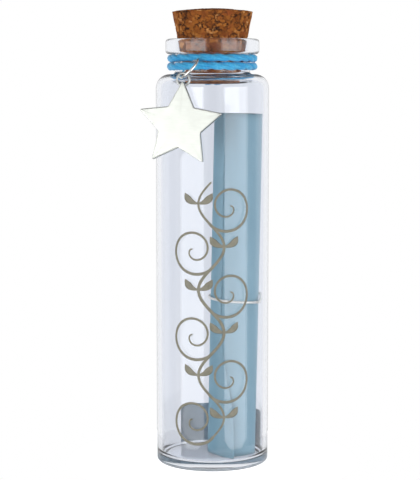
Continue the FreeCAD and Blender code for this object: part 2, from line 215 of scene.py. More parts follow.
def clear_glass():
    """Clear soda glass with faint waves; lamps reach what is behind it."""
    material, tree, glass = new_finish("clear_glass", Transmission_Weight=1.0, IOR=1.48, Roughness=0.0)
    place = object_place(tree, (1, 1, 0.25))
    tint = add_ramp(tree, add_noise(tree, place, scale=60, detail=2),
                    ((0.3, shade(236, 239, 245)), (0.7, shade(240, 242, 247))))
    tree.links.new(tint, glass.inputs["Base Color"])
    add_bump(tree, glass, add_noise(tree, place, scale=90, detail=1), depth=0.02 * MM, strength=0.2)
    through = add_node(tree, "BsdfTransparent", {"Color": shade(246, 248, 251)})
    lamp = add_node(tree, "LightPath").outputs["Is Shadow Ray"]
    both = add_node(tree, "MixShader", {"Fac": lamp, 1: glass.outputs["BSDF"], 2: through.outputs["BSDF"]})
    tree.links.new(both.outputs["Shader"], tree.nodes["Material Output"].inputs["Surface"])
    return material


def pressed_cork():
    """Granules of compressed cork: tones and cracks come from the mesh, fine grain from noise. Below the mouth
    the tones carry painted shade.
    """
    material, tree, cork = new_finish("pressed_cork", Specular_IOR_Level=0.25)
    place = object_place(tree)
    tone = add_node(tree, "Attribute", attribute_name="granule_tone_and_shade").outputs["Fac"]
    crack = add_node(tree, "Attribute", attribute_name="crack").outputs["Fac"]
    grain = add_noise(tree, place, scale=1800, detail=4)
    mixed = blend(tree, "FLOAT", 0.3, tone, grain)
    colour = add_ramp(tree, mixed, ((0.10, shade(94, 46, 14)), (0.36, shade(142, 80, 27)),
                                    (0.64, shade(170, 104, 42)), (0.90, shade(222, 166, 108))))
    red = add_ramp(tree, add_noise(tree, place, scale=260, detail=2), ((0.5, 0.0), (0.75, 0.6)))
    colour = blend(tree, "RGBA", red, colour, shade(146, 72, 36))
    colour = blend(tree, "RGBA", crack, colour, shade(42, 20, 10))
    tree.links.new(colour, cork.inputs["Base Color"])
    rough = add_ramp(tree, grain, ((0.3, 0.75), (0.7, 0.95)))
    tree.links.new(rough, cork.inputs["Roughness"])
    add_bump(tree, cork, grain, depth=0.15 * MM, strength=0.6)
    return material


def blue_twine():
    """Dyed twine: fibres run along each strand."""
    material, tree, twine = new_finish("blue_twine", Specular_IOR_Level=0.35, Sheen_Weight=0.25)
    along = add_node(tree, "UVMap", uv_map="UVMap").outputs["UV"]
    drawn_out = add_node(tree, "Mapping", {"Vector": along, "Scale": (260, 9, 1)}).outputs["Vector"]
    fibre = add_noise(tree, drawn_out, scale=1, detail=3)
    patch = add_noise(tree, object_place(tree), scale=350, detail=2)
    mixed = blend(tree, "FLOAT", 0.35, fibre, patch)
    colour = add_ramp(tree, mixed, ((0.25, shade(26, 128, 198)), (0.5, shade(52, 168, 222)),
                                    (0.75, shade(112, 204, 238))))
    tree.links.new(colour, twine.inputs["Base Color"])
    tree.links.new(add_ramp(tree, fibre, ((0.3, 0.45), (0.7, 0.7))), twine.inputs["Roughness"])
    add_bump(tree, twine, fibre, depth=0.08 * MM, strength=0.7)
    return material


# How dark the clouded parts of plated metal are, as a share of its colour
CLOUDED = 0.93


def silver(name, colour, rough_low, rough_high, metallic=1.0):
    """Plated metal with fine rubbing marks."""
    material, tree, metal = new_finish(name, Metallic=metallic)
    cloud = add_noise(tree, object_place(tree), scale=220, detail=3)
    rub = add_noise(tree, object_place(tree, (400, 400, 4000)), scale=1, detail=2)
    low = tuple(CLOUDED * value for value in colour[:3]) + (1,)
    tree.links.new(add_ramp(tree, cloud, ((0.3, low), (0.7, colour))), metal.inputs["Base Color"])
    tree.links.new(add_ramp(tree, rub, ((0.3, rough_low), (0.7, rough_high))), metal.inputs["Roughness"])
    add_bump(tree, metal, rub, depth=0.01 * MM, strength=0.3)
    return material


def blue_paper():
    """Smooth dyed paper with faint fibres."""
    material, tree, paper = new_finish("blue_paper", Specular_IOR_Level=0.3)
    cloud = add_noise(tree, object_place(tree), scale=90, detail=3)
    fibre = add_noise(tree, object_place(tree, (1, 1, 0.3)), scale=1500, detail=4)
    mixed = blend(tree, "FLOAT", 0.5, cloud, fibre)
    colour = add_ramp(tree, mixed, ((0.3, shade(126, 163, 177)), (0.7, shade(138, 173, 186))))
    tree.links.new(colour, paper.inputs["Base Color"])
    tree.links.new(add_ramp(tree, fibre, ((0.3, 0.5), (0.7, 0.65))), paper.inputs["Roughness"])
    add_bump(tree, paper, fibre, depth=0.03 * MM, strength=0.4)
    return material


# The sticker's left end, from where it starts to darken to where it is darkest
STICKER_END_FROM = -10.2 * MM
STICKER_END_TO = -10.8 * MM
STICKER_END_TINT = 0.7


def sticker_paper():
    """Blank coated paper, a little blue, and darker at its left end."""
    material, tree, paper = new_finish("sticker_paper", Specular_IOR_Level=0.4)
    place = object_place(tree)
    cloud = add_noise(tree, place, scale=400, detail=4)
    colour = add_ramp(tree, cloud, ((0.3, shade(150, 172, 182)), (0.7, shade(166, 188, 198))))
    across = add_node(tree, "SeparateXYZ", {"Vector": place}).outputs["X"]
    ends = {"Value": across, "From Min": STICKER_END_FROM, "From Max": STICKER_END_TO, "To Max": STICKER_END_TINT}
    end = add_node(tree, "MapRange", ends).outputs[0]
    colour = blend(tree, "RGBA", end, colour, shade(96, 126, 150))
    tree.links.new(colour, paper.inputs["Base Color"])
    tree.links.new(add_ramp(tree, cloud, ((0.3, 0.35), (0.7, 0.5))), paper.inputs["Roughness"])
    return material


def gilt_ink():
    """Matt printing ink of a dull gilt tone, with small uneven spots."""
    material, tree, ink = new_finish("gilt_ink", Specular_IOR_Level=0.5)
    spots = add_noise(tree, object_place(tree), scale=900, detail=4)
    colour = add_ramp(tree, spots, ((0.3, shade(118, 115, 100)), (0.7, shade(140, 137, 122))))
    tree.links.new(colour, ink.inputs["Base Color"])
    tree.links.new(add_ramp(tree, spots, ((0.3, 0.45), (0.7, 0.65))), ink.inputs["Roughness"])
    return material


# Glass bottle

BODY_RADIUS = 18.5 * MM
BODY_WALL = 1.6 * MM
FLOOR = 2.4 * MM
SHOULDER = 128.2 * MM
SHOULDER_ROUND = 4.5 * MM
BASE_ROUND = 1.3 * MM
INNER_BASE_ROUND = 2.2 * MM
NECK_RADIUS = 12.3 * MM
NECK_FILLET = 0.9 * MM
BORE = 11.4 * MM
LIP_BOTTOM = 134.8 * MM
LIP_RADIUS = 15.3 * MM
LIP_ROUND = 1.0 * MM
UNDER_LIP_ROUND = 0.3 * MM
MOUTH_ROUND = 0.8 * MM
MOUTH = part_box("glass_bottle")[1].z
INNER_RADIUS = BODY_RADIUS - BODY_WALL
INNER_SHOULDER = SHOULDER - BODY_WALL
BOTTLE_STEPS = 160
BOTTLE_CUT = 3 * MM
# Large faces set the shading of their edges
LARGE_FACES_FIRST = 100


def make_bottle():
    bm = turned((
        (0, 0, 0),
        (BODY_RADIUS, 0, BASE_ROUND),
        (BODY_RADIUS, SHOULDER, SHOULDER_ROUND),
        (NECK_RADIUS, SHOULDER, NECK_FILLET),
        (NECK_RADIUS, LIP_BOTTOM, UNDER_LIP_ROUND),
        (LIP_RADIUS, LIP_BOTTOM, LIP_ROUND),
        (LIP_RADIUS, MOUTH, LIP_ROUND),
        (BORE, MOUTH, MOUTH_ROUND),
        (BORE, INNER_SHOULDER, NECK_FILLET),
        (INNER_RADIUS, INNER_SHOULDER, SHOULDER_ROUND - BODY_WALL),
        (INNER_RADIUS, FLOOR, INNER_BASE_ROUND),
        (0, FLOOR, 0),
    ), BOTTLE_STEPS, BOTTLE_CUT)
    bottle = piece_of(bm, "clear_bottle", "bottle", ["glass_bottle"])
    bottle.modifiers.new("even_normals", "WEIGHTED_NORMAL").weight = LARGE_FACES_FIRST
    bottle.data.materials.append(clear_glass())


# Cork

CORK_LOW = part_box("cork_stopper")[0].z
CORK_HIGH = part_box("cork_stopper")[1].z
CORK_CROWN = 1.1 * MM
CORK_TOP_RADIUS = 13.2 * MM
CORK_LOW_RADIUS = 8.89 * MM
CORK_EDGE = 0.25 * MM
CORK_STEPS = 340
CORK_CUT = 0.23 * MM
# The crown's corner lies part of the way out and a little below the top
DOME_OUT = 0.55
DOME_DROP = 0.3
DOME_ROUND = 4 * MM
# Without a seed, Blender takes noise vectors from the clock
GRAIN_SEED = 7
# Granules are flat cells, bent by coarse and fine noise. Scales below are in granules
GRANULE = 1.9 * MM
GRANULE_FLATNESS = 1.3
COARSE_BEND = 0.45
COARSE_SCALE = 0.9
FINE_BEND = 0.25
FINE_SCALE = 2.6
# Moves neighbouring cells far enough apart for a tone of their own
CELL_SPREAD = 7.3
# Cracks: their width, how open they are on the whole, how much that varies and over what scale
CRACK = 0.24
CRACK_OPEN = 0.45
CRACK_VARIES = 1.6
CRACK_PATCH = 0.7
CLOSED_CRACK = 0.15
CRACK_DARK = 1.3
CRACK_DEPTH = 0.34 * MM
# Tones from dark to pale, with streaks and a few granules that are paler still
MEAN_TONE = 0.47
TONE_RANGE = 0.75
TONE_DEPTH = 0.1 * MM
PALE_FROM = 0.88
PALE_GAIN = 0.9
STREAK_FLATNESS = 3
STREAK_SCALE = 2.2
STREAK_RANGE = 0.25
STREAK_DEPTH = 0.05 * MM
# The part inside the mouth is painted darker, as painted shade of the neck
NECK_PAINTED_SHADE = 0.1
NECK_SHADE_FADE = 2 * MM


def cork_grain(place):
    """Tone, crack and depth of the compressed cork at a point; the tone is painted darker below the mouth, as
    painted shade.
    """
    spot = Vector((place.x, place.y, GRANULE_FLATNESS * place.z)) / GRANULE
    coarse = COARSE_BEND * noise.noise_vector(spot * COARSE_SCALE)
    spot += coarse + FINE_BEND * noise.noise_vector(spot * FINE_SCALE)
    near, sites = noise.voronoi(spot)[:2]
    open_here = max(0.0, min(1.0, CRACK_OPEN + CRACK_VARIES * noise.noise(spot * CRACK_PATCH)))
    gap = max(0.0, 1 - (near[1] - near[0]) / CRACK) * (CLOSED_CRACK + (1 - CLOSED_CRACK) * open_here)
    tone = 0.5 + 0.5 * noise.cell(sites[0] * CELL_SPREAD)
    streak = noise.noise(Vector((spot.x, spot.y, STREAK_FLATNESS * spot.z)) * STREAK_SCALE)
    # Painted shade: the cork below the mouth is darker
    neck_shade = NECK_PAINTED_SHADE * ease((MOUTH - place.z) / NECK_SHADE_FADE)
    shown = (MEAN_TONE + TONE_RANGE * (tone - 0.5) + STREAK_RANGE * streak
             + PALE_GAIN * max(0.0, tone - PALE_FROM) - neck_shade)
    depth = CRACK_DEPTH * gap + TONE_DEPTH * tone + STREAK_DEPTH * streak
    return shown, min(1.0, CRACK_DARK * gap), depth


def make_cork():
    bm = turned((
        (0, CORK_LOW, 0),
        (CORK_LOW_RADIUS, CORK_LOW, CORK_EDGE),
        (CORK_TOP_RADIUS, CORK_HIGH - CORK_CROWN, CORK_EDGE),
        (DOME_OUT * CORK_TOP_RADIUS, CORK_HIGH - DOME_DROP * CORK_CROWN, DOME_ROUND),
        (0, CORK_HIGH, 0),
    ), CORK_STEPS, CORK_CUT)
    granule_tone_and_shade = bm.verts.layers.float.new("granule_tone_and_shade")
    crack = bm.verts.layers.float.new("crack")
    bm.normal_update()
    noise.seed_set(GRAIN_SEED)
    shifts = []
    for vert in bm.verts:
        vert[granule_tone_and_shade], vert[crack], depth = cork_grain(vert.co)
        shifts.append((vert, vert.normal * depth))
    for vert, shift in shifts:
        vert.co -= shift
    cork = piece_of(bm, "cork_bung", "cork", ["cork_stopper"])
    cork.data.materials.append(pressed_cork())


# Twine and its knot

TURN_RADIUS = 13.65 * MM
LOWER_TURN = 130.75 * MM
UPPER_TURN = 133.4 * MM
CHARM_BEARING = 147.3
CHARM_LIFT = 2.4 * MM
LIFT_SPREAD = 56.0
# The turns run from the left lead to the right one, and climb behind the neck
TWO_TURNS = 720
ENTRY = 62.0
CLIMB = 42.0
TURN_STEP = 14.0
# Leads between the turns and the knot, in millimetres
LEFT_LEAD = ((-4.3, 16.0, 132.33), (-7.2, 15.4, 132.1), (-9.5, 12.6, 131.6), (-11.0, 9.4, 131.1))
RIGHT_LEAD = ((11.0, 9.4, 133.5), (9.5, 12.6, 133.1), (7.2, 15.4, 132.6), (4.3, 16.0, 132.33))
STRANDS = 3
STRAND_RADIUS = 0.80 * MM
STRAND_OFFSET = 0.50 * MM
LAY = 13.0 * MM
# How strands stray: over what share of the lay, by how much, and the row of noise that it takes
TURN_STRAY = (0.6, 0.7, 0)
OFFSET_STRAY = (0.4, 0.18, 5)
WIDTH_STRAY = (0.35, 0.22, 9)
STRAY_SEEDS = 50
# One end of the knot, in millimetres from its middle. The other is its mirror image and lies over it
KNOT_AT = Vector((0, 16.0, 132.325)) * MM
KNOT_END = ((-4.6, 0, 0.2), (-2.6, -0.4, 0.9), (-0.9, 0.6, 1.35), (0.8, 1.3, 0.5), (1.2, 0.9, -0.9),
            (0.2, 0.0, -1.5), (0.9, 1.0, -2.2), (1.5, 2.6, -3.1), (1.9, 4.0, -4.5))
KNOT_TIGHTNESS = 0.92
OVER_OUT = 0.5 * MM
OVER_START = 3
OVER_START_RISE = -0.4 * MM
OVER_RISE = 0.2 * MM


def on_turn(bearing):
    """Point of the two turns at a bearing in degrees from the back, counted towards the left."""
    lift = CHARM_LIFT * ease(1 - abs(bearing - CHARM_BEARING) / LIFT_SPREAD)
    height = LOWER_TURN + (UPPER_TURN - LOWER_TURN) * ease((bearing - 360 + CLIMB) / (2 * CLIMB))
    angle = math.radians(bearing)
    radius = TURN_RADIUS + lift
    return Vector((-radius * math.sin(angle), radius * math.cos(angle), height))


def stray(kind, run, seed):
    """How far a strand departs from an even lay after a run along the line."""
    share, amount, row = kind
    return amount * noise.noise((run / (share * LAY), seed, row))


def rope(bm, line, tightness=1.0, phase=0.0):
    """Strands laid round a line of points; tightness scales their thickness and spread."""
    normal = (line[1] - line[0]).orthogonal().normalized()
    run = 0.0
    random.seed(len(line))
    seeds = [random.uniform(0, STRAY_SEEDS) for _ in range(STRANDS)]
    routes = [[] for _ in range(STRANDS)]
    for index, point in enumerate(line):
        ahead = line[min(index + 1, len(line) - 1)]
        behind = line[max(index - 1, 0)]
        tangent = (ahead - behind).normalized()
        normal = (normal - tangent * normal.dot(tangent)).normalized()
        side = tangent.cross(normal)
        run += (point - behind).length
        for number, (route, seed) in enumerate(zip(routes, seeds)):
            turn = FULL_TURN * (run / LAY + number / STRANDS) + phase + stray(TURN_STRAY, run, seed)
            out = STRAND_OFFSET * tightness * (1 + stray(OFFSET_STRAY, run, seed))
            place = point + (normal * math.cos(turn) + side * math.sin(turn)) * out
            route.append((*place, 1 + stray(WIDTH_STRAY, run, seed)))
    add_tubes(bm, routes, STRAND_RADIUS * tightness)


def make_twine(finish):
    """Two turns under the lip, their ends led into the knot behind the neck."""
    sweep = TWO_TURNS - 2 * ENTRY
    count = int(sweep / TURN_STEP)
    bearings = [ENTRY + sweep * index / count for index in range(count + 1)]
    route = [Vector(point) * MM for point in LEFT_LEAD]
    route += [on_turn(bearing) for bearing in bearings]
    route += [Vector(point) * MM for point in RIGHT_LEAD]
    bm = bmesh.new()
    rope(bm, smooth_line(route))
    twine = piece_of(bm, "wound_twine", "bottle", ["neck_twine"])
    twine.data.materials.append(finish)


def make_knot(finish):
    """Two ends laid over each other and pulled tight, with short tails."""
    bm = bmesh.new()
    for flip in (1, -1):
        route = [KNOT_AT + Vector((flip * x, y, z)) * MM for x, y, z in KNOT_END]
        if flip < 0:
            rises = [OVER_START_RISE if index < OVER_START else OVER_RISE for index in range(len(route))]
            route = [point + Vector((0, OVER_OUT, rise)) for point, rise in zip(route, rises)]
        rope(bm, smooth_line(route), KNOT_TIGHTNESS, flip)
    knot = piece_of(bm, "tied_knot", "bottle", ["twine_knot"])
    knot.data.materials.append(finish)


# Charm: ring and star

RING_CENTRE = Vector((-7.4017, -15.8293, 129.8845)) * MM
RING_NORMAL = Vector((0.7042, 0.2019, -0.6807))
RING_RADIUS = 3.925 * MM
RING_WIRE = 0.84 * MM
RING_CUT = 5.0
RING_STEPS = 72
WIRE_SIDES = 16
STAR_CENTRE = Vector((-10.25, -19.0423, 112.0842)) * MM
STAR_RIGHT = Vector((0.97782, -0.20356, -0.04925))
STAR_UP = Vector((0.07015, 0.09673, 0.99284))
STAR_POINTS = 5
STAR_RADIUS = 14.2 * MM
STAR_WAIST = 7.1 * MM
STAR_THICKNESS = 1.8 * MM
STAR_TIP_ROUND = 0.81 * MM
STAR_WAIST_ROUND = 0.35 * MM
STAR_CORNER_STEPS = 6
# The rim is rounded in two steps, each going inwards by a share and up by the rest
STAR_RIM_ROUND = 0.38 * MM
RIM_STEPS = (0.3, 0.7)
RIM_SLOPE = 0.9
EYELET_RADIUS = 2.0 * MM
EYELET_WIRE = 0.8 * MM
EYELET_HEIGHT = 14.5 * MM
EYELET_STEPS = 48


def wire_ring(bm, radius, wire, steps, sweep=FULL_TURN):
    """Round wire bent about the Z axis; a full sweep closes it."""
    ring = bmesh.ops.create_circle(bm, segments=WIRE_SIDES, radius=wire / 2)["verts"]
    place = Matrix.Translation((radius, 0, 0)) @ Matrix.Rotation(math.pi / 2, 4, "X")
    bmesh.ops.transform(bm, matrix=place, verts=ring)
    edges = list({edge for vert in ring for edge in vert.link_edges})
    full = sweep >= FULL_TURN
    bent = bmesh.ops.spin(bm, geom=ring + edges, cent=(0, 0, 0), axis=(0, 0, 1), angle=sweep, steps=steps,
                          use_merge=full)
    if not full:
        bmesh.ops.contextual_create(bm, geom=edges)
        last = [item for item in bent["geom_last"] if isinstance(item, bmesh.types.BMEdge)]
        bmesh.ops.contextual_create(bm, geom=last)


def make_ring():
    """Round wire ring with a closed cut."""
    bm = bmesh.new()
    wire_ring(bm, RING_RADIUS, RING_WIRE, RING_STEPS, FULL_TURN - math.radians(RING_CUT))
    bmesh.ops.recalc_face_normals(bm, faces=bm.faces)
    turn = RING_NORMAL.to_track_quat("Z", "Y").to_matrix().to_4x4()
    bmesh.ops.transform(bm, matrix=Matrix.Translation(RING_CENTRE) @ turn, verts=bm.verts)
    ring = piece_of(bm, "split_ring", "ring", ["jump_ring"])
    ring.data.materials.append(silver("silver_wire", shade(226, 226, 222), 0.12, 0.24))


def add_plate(bm):
    """Flat star with rounded corners and a softened rim, which has the second material: the same silver painted
    darker, as painted shade.
    """
    outline = bmesh.ops.create_circle(bm, cap_ends=True, segments=2 * STAR_POINTS, radius=STAR_RADIUS)
    corners = sorted(outline["verts"], key=lambda vert: math.atan2(vert.co.y, vert.co.x))
    for index, vert in enumerate(corners):
        reach = STAR_RADIUS if index % 2 == 0 else STAR_WAIST
        angle = math.radians(90 + 180 / STAR_POINTS * index)
        vert.co = (reach * math.cos(angle), reach * math.sin(angle), STAR_RIM_ROUND - STAR_THICKNESS / 2)
    for verts, rounding in ((corners[0::2], STAR_TIP_ROUND), (corners[1::2], STAR_WAIST_ROUND)):
        bmesh.ops.bevel(bm, geom=verts, offset=rounding, offset_type="OFFSET", affect="VERTICES",
                        segments=STAR_CORNER_STEPS, profile=ROUND_PROFILE, material=-1)
    plate = bmesh.ops.extrude_face_region(bm, geom=bm.faces[:])["geom"]
    raised = [item for item in plate if isinstance(item, bmesh.types.BMVert)]
    bmesh.ops.translate(bm, verts=raised, vec=(0, 0, STAR_THICKNESS - 2 * STAR_RIM_ROUND))
    bmesh.ops.recalc_face_normals(bm, faces=bm.faces)
    flats = [face for face in bm.faces if abs(face.normal.z) > RIM_SLOPE]
    for inwards in RIM_STEPS:
        bmesh.ops.inset_individual(bm, faces=flats, thickness=inwards * STAR_RIM_ROUND,
                                   depth=(1 - inwards) * STAR_RIM_ROUND, use_even_offset=True)
    bmesh.ops.poke(bm, faces=flats)
    bm.normal_update()
    for face in bm.faces:
        face.material_index = int(abs(face.normal.z) < RIM_SLOPE)


def add_eyelet(bm):
    """Closed wire loop on the star's top point, of the rim's material, which is painted shade."""
    loop = bmesh.new()
    wire_ring(loop, EYELET_RADIUS, EYELET_WIRE, EYELET_STEPS)
    bmesh.ops.remove_doubles(loop, verts=loop.verts, dist=WELD)
    bmesh.ops.recalc_face_normals(loop, faces=loop.faces)
    bmesh.ops.translate(loop, verts=loop.verts, vec=(0, EYELET_HEIGHT, 0))
    for face in loop.faces:
        face.material_index = 1
    cast = bpy.data.meshes.new("eyelet")
    loop.to_mesh(cast)
    loop.free()
    bm.from_mesh(cast)
    bpy.data.meshes.remove(cast)


def make_star():
    """Flat star with an eyelet, its faces shaded flat and its rim smooth."""
    bm = bmesh.new()
    add_plate(bm)
    add_eyelet(bm)
    facing = STAR_RIGHT.cross(STAR_UP)
    turn = Matrix((STAR_RIGHT, STAR_UP, facing)).transposed().to_4x4()
    bmesh.ops.transform(bm, matrix=Matrix.Translation(STAR_CENTRE) @ turn, verts=bm.verts)
    star = piece_of(bm, "silver_star", "star", ["star_charm"])
    for face in star.data.polygons:
        face.use_smooth = face.material_index == 1
    star.data.materials.append(silver("silver_plate", shade(215, 218, 212), 0.45, 0.58))
    # The rim and eyelet are the plate's silver painted darker: painted shade on the edges
    star.data.materials.append(silver("shaded_silver_rim", shade(176, 178, 176), 0.25, 0.4))


# Paper roll and its wire tie

ROLL_FOOT = Vector((6.3861, 0, 2.6606)) * MM
ROLL_LEAN = Matrix.Rotation(math.radians(1.15), 4, "Y")
ROLL_LENGTH = 112.8 * MM
ROLL_RADIUS = 7.9 * MM
ROLL_TURNS = 3
SHEET_ALONG = 150
SHEET_UP = 60
# How far each turn lies inside the first, and the share of a turn after which it steps in
TURN_DROPS = (0, 0.38 * MM, 1.7 * MM, 3.1 * MM)
STEP_FROM = 0.55
PAPER = 0.22 * MM
# The free edge slips round the roll towards its foot
FREE_EDGE = 235.0
LOW_FREE_EDGE = 268.0
SLIP_FROM = 46 * MM
SLIP_TO = 10 * MM
# The lower corner stands off from a bearing on, more so towards the foot
PEEL_HEIGHT = 24 * MM
PEEL_START = 193.0
PEEL_CURVE = 1.3
PEEL_CORNER = Vector((0.35, -13.4)) * MM
TIE_HEIGHT = 52.35 * MM
TIE_RADIUS = 8.6 * MM
TIE_WIRE = 0.8 * MM
TIE_PITCH = -2.4 * MM
TIE_START = 48.0
TIE_SWEEP = 396.0
TIE_STEPS = 40
# Over this share of its run the wire's first end lies on top, and lower
TIE_CROSSING = 0.09
TIE_DIP = 2.4 * MM


def on_roll(place):
    """A point of the roll's own space, put where the roll leans in the bottle."""
    return ROLL_FOOT + ROLL_LEAN @ place


def sheet_point(along, up):
    """Point of the rolled sheet: along runs from its free edge inwards, up from its foot to its top."""
    height = up * ROLL_LENGTH
    peel = max(0.0, 1 - height / PEEL_HEIGHT) ** PEEL_CURVE
    slip = (LOW_FREE_EDGE - FREE_EDGE) * ease((SLIP_FROM - height) / (SLIP_FROM - SLIP_TO))
    bearing = FREE_EDGE + slip * max(0.0, 1 - along * ROLL_TURNS)
    bearing -= along * ROLL_TURNS * 360
    whole = math.floor(along * ROLL_TURNS)
    step = ease((along * ROLL_TURNS - whole - STEP_FROM) / (1 - STEP_FROM))
    first = TURN_DROPS[whole]
    radius = ROLL_RADIUS - first - step * (TURN_DROPS[min(whole + 1, ROLL_TURNS)] - first)
    angle = math.radians(bearing)
    flat = Vector((radius * math.cos(angle), radius * math.sin(angle)))
    if peel and bearing > PEEL_START:
        start = math.radians(PEEL_START)
        root = Vector((math.cos(start), math.sin(start))) * ROLL_RADIUS
        share = (bearing - PEEL_START) / (FREE_EDGE + slip - PEEL_START)
        flat = flat.lerp(root.lerp(PEEL_CORNER, share), peel)
    return on_roll(Vector((flat.x, flat.y, height)))


def make_letter():
    """Sheet of paper rolled three times, its lower corner standing off."""
    bm = bmesh.new()
    bmesh.ops.create_grid(bm, x_segments=SHEET_ALONG, y_segments=SHEET_UP, size=0.5)
    for vert in bm.verts:
        vert.co = sheet_point(vert.co.x + 0.5, vert.co.y + 0.5)
    letter = piece_of(bm, "rolled_letter", "scroll", ["message_scroll"])
    sheet = letter.modifiers.new("paper", "SOLIDIFY")
    sheet.thickness = PAPER
    sheet.offset = 0
    letter.data.materials.append(blue_paper())


def make_tie():
    """Wire wound a little more than once round the roll, its first end crossing over the last."""
    route = []
    for step in range(TIE_STEPS + 1):
        share = step / TIE_STEPS
        turn = math.radians(180 + TIE_START + TIE_SWEEP * share)
        crossing = 1 - ease(share / TIE_CROSSING)
        radius = TIE_RADIUS + TIE_WIRE * crossing
        height = TIE_HEIGHT + TIE_PITCH * TIE_SWEEP / 360 * (share - 0.5) - TIE_DIP * crossing
        route.append(on_roll(Vector((-radius * math.sin(turn), radius * math.cos(turn), height))))
    bm = bmesh.new()
    add_tubes(bm, [route], TIE_WIRE / 2, sides=4, fine=4)
    tie = piece_of(bm, "wire_tie", "tie", ["scroll_tie"])
    tie.data.materials.append(silver("tie_wire", shade(240, 236, 228), 0.25, 0.4, metallic=0.55))


# Printed ornament: a climbing vine of curls and leaves on the front of the glass
# It is drawn flat, across and up, and then bent round the glass. Widths are shares of the stem's

VINE_LOW = 11.0 * MM
VINE_HIGH = 94.0 * MM
VINE_ACROSS = -0.4 * MM
VINE_SWAY = 4.2 * MM
VINE_WAVES = 3.0
VINE_STEM = 0.5 * MM
STEM_STEPS = 60
STEM_END_WIDTH = 0.6
# Each curl starts on the stem and winds in about a centre beside it
CURL_AT = 0.05
CURL_OUT = 6.2 * MM
CURL_UP = 5.2 * MM
CURL_STEPS = 32
CURL_START = -130
CURL_SWEEP = 520
CURL_RADIUS = 7.6 * MM
CURL_EYE = 0.7 * MM
CURL_CLOSING = 0.8
CURL_ROOT_WIDTH = 0.9
CURL_WIDTH = 0.95
CURL_THINNING = 0.45
# Leaves stand in pairs between the curls
LEAF_AT = 0.45
LEAF_TIP_OUT = 4.6 * MM
LEAF_TIP_UP = 3.4 * MM
LEAF_BEND_OUT = 3.0 * MM
LEAF_BEND_UP = 0.6 * MM
LEAF_WIDTHS = (0.4, 1.5, 2.6, 1.3, 0.1)
INK = 0.03 * MM
INK_SWELL = 0.5


def vine_stem(share):
    return Vector((VINE_ACROSS + VINE_SWAY * math.sin(FULL_TURN * VINE_WAVES * share),
                   VINE_LOW + (VINE_HIGH - VINE_LOW) * share))


def vine_curl(root, side):
    """Stroke from the stem that winds in to the left (-1) or the right (1)."""
    centre = root + Vector((side * CURL_OUT, CURL_UP))
    curl = [(*root, 0, CURL_ROOT_WIDTH)]
    for index in range(CURL_STEPS + 1):
        part = index / CURL_STEPS
        turn = math.radians(CURL_START + CURL_SWEEP * part)
        radius = CURL_RADIUS * (1 - part) ** CURL_CLOSING + CURL_EYE
        curl.append((centre.x + side * radius * math.cos(turn), centre.y + radius * math.sin(turn), 0,
                     CURL_WIDTH - CURL_THINNING * part))
    return curl


def vine_leaf(root, side):
    """Stroke that swells and ends in a point."""
    tip = root + Vector((side * LEAF_TIP_OUT, LEAF_TIP_UP))
    bend = root + Vector((side * LEAF_BEND_OUT, LEAF_BEND_UP))
    places = (root, root.lerp(bend, 0.6), bend.lerp(tip, 0.3), bend.lerp(tip, 0.75), tip)
    return [(*place, 0, width) for place, width in zip(places, LEAF_WIDTHS)]


def make_vine():
    stem = []
    for index in range(STEM_STEPS + 1):
        share = index / STEM_STEPS
        width = STEM_END_WIDTH + (1 - STEM_END_WIDTH) * math.sin(math.pi * share)
        stem.append((*vine_stem(share), 0, width))
    strokes = [stem]
    curls = int(2 * VINE_WAVES)
    for number in range(curls):
        share = (number + CURL_AT) / curls
        strokes.append(vine_curl(vine_stem(share), 1 if number % 2 else -1))
        leaf_root = vine_stem(share + LEAF_AT / curls)
        strokes += [vine_leaf(leaf_root, side) for side in (-1, 1)]
    bm = bmesh.new()
    add_tubes(bm, strokes, VINE_STEM, sides=2, fine=4)
    for vert in bm.verts:
        angle = vert.co.x / BODY_RADIUS
        radius = BODY_RADIUS + INK * (1 + vert.co.z / VINE_STEM * INK_SWELL)
        vert.co = (radius * math.sin(angle), -radius * math.cos(angle), vert.co.y)
    vine = piece_of(bm, "printed_vine", "bottle")
    vine.data.materials.append(gilt_ink())


# Stage, light and camera

CAMERA_AT = Vector((-0.8, -505.0, 124.7)) * MM
CAMERA_AIM = Vector((-0.8, 0.0, 73.7)) * MM
CAMERA_LENS = 115.1
CAMERA_SENSOR = 36
WHITE = (1, 1, 1, 1)
TABLE_RADIUS = 48 * MM
TABLE_DROP = 0.15 * MM
TABLE_SEGMENTS = 96
TABLE_GREY = (0.8, 0.8, 0.8, 1)
FLOOR_GLOW = 0.78
MIRRORED_GLOW = 0.38
FILL = 0.35
# Glass mirrors a grey front, which turns white between these shares of the way to the back
FRONT_GREY = (0.3, 0.3, 0.31, 1)
FRONT_TO = -0.4
BACK_FROM = 0.1
# Metal mirrors grey along the axes and white panels between them
AXIS_GREY = (0.15, 0.15, 0.16, 1)
AXIS_TO = 0.1
PANEL_FROM = 0.25
# Fewer bounces than this are none
NO_BOUNCE = 0.5
BOX_RADIANCE = 2.4
BACK_RADIANCE = 1.5
BOX_SIZE = (0.23, 0.22)
BOX_HEIGHT = 60 * MM
BOX_DISTANCE = 0.25
# Name, bearing in degrees, radiance, and whether glass and metal show the panel
SOFTBOXES = (
    ("left_box", -42, BOX_RADIANCE, True),
    ("right_box", 49, BOX_RADIANCE, True),
    ("back_left_box", -140, BACK_RADIANCE, False),
    ("back_right_box", 140, BACK_RADIANCE, False),
)


def shows_background(tree):
    """1 for rays that see the background straight, mirrored or through glass, not by way of a matt face."""
    light = add_node(tree, "LightPath").outputs
    shiny = compute(tree, "MAXIMUM", light["Is Camera Ray"], light["Is Glossy Ray"])
    clear = compute(tree, "MAXIMUM", shiny, light["Is Transmission Ray"])
    direct = compute(tree, "LESS_THAN", light["Diffuse Depth"], NO_BOUNCE)
    return compute(tree, "MULTIPLY", clear, direct)


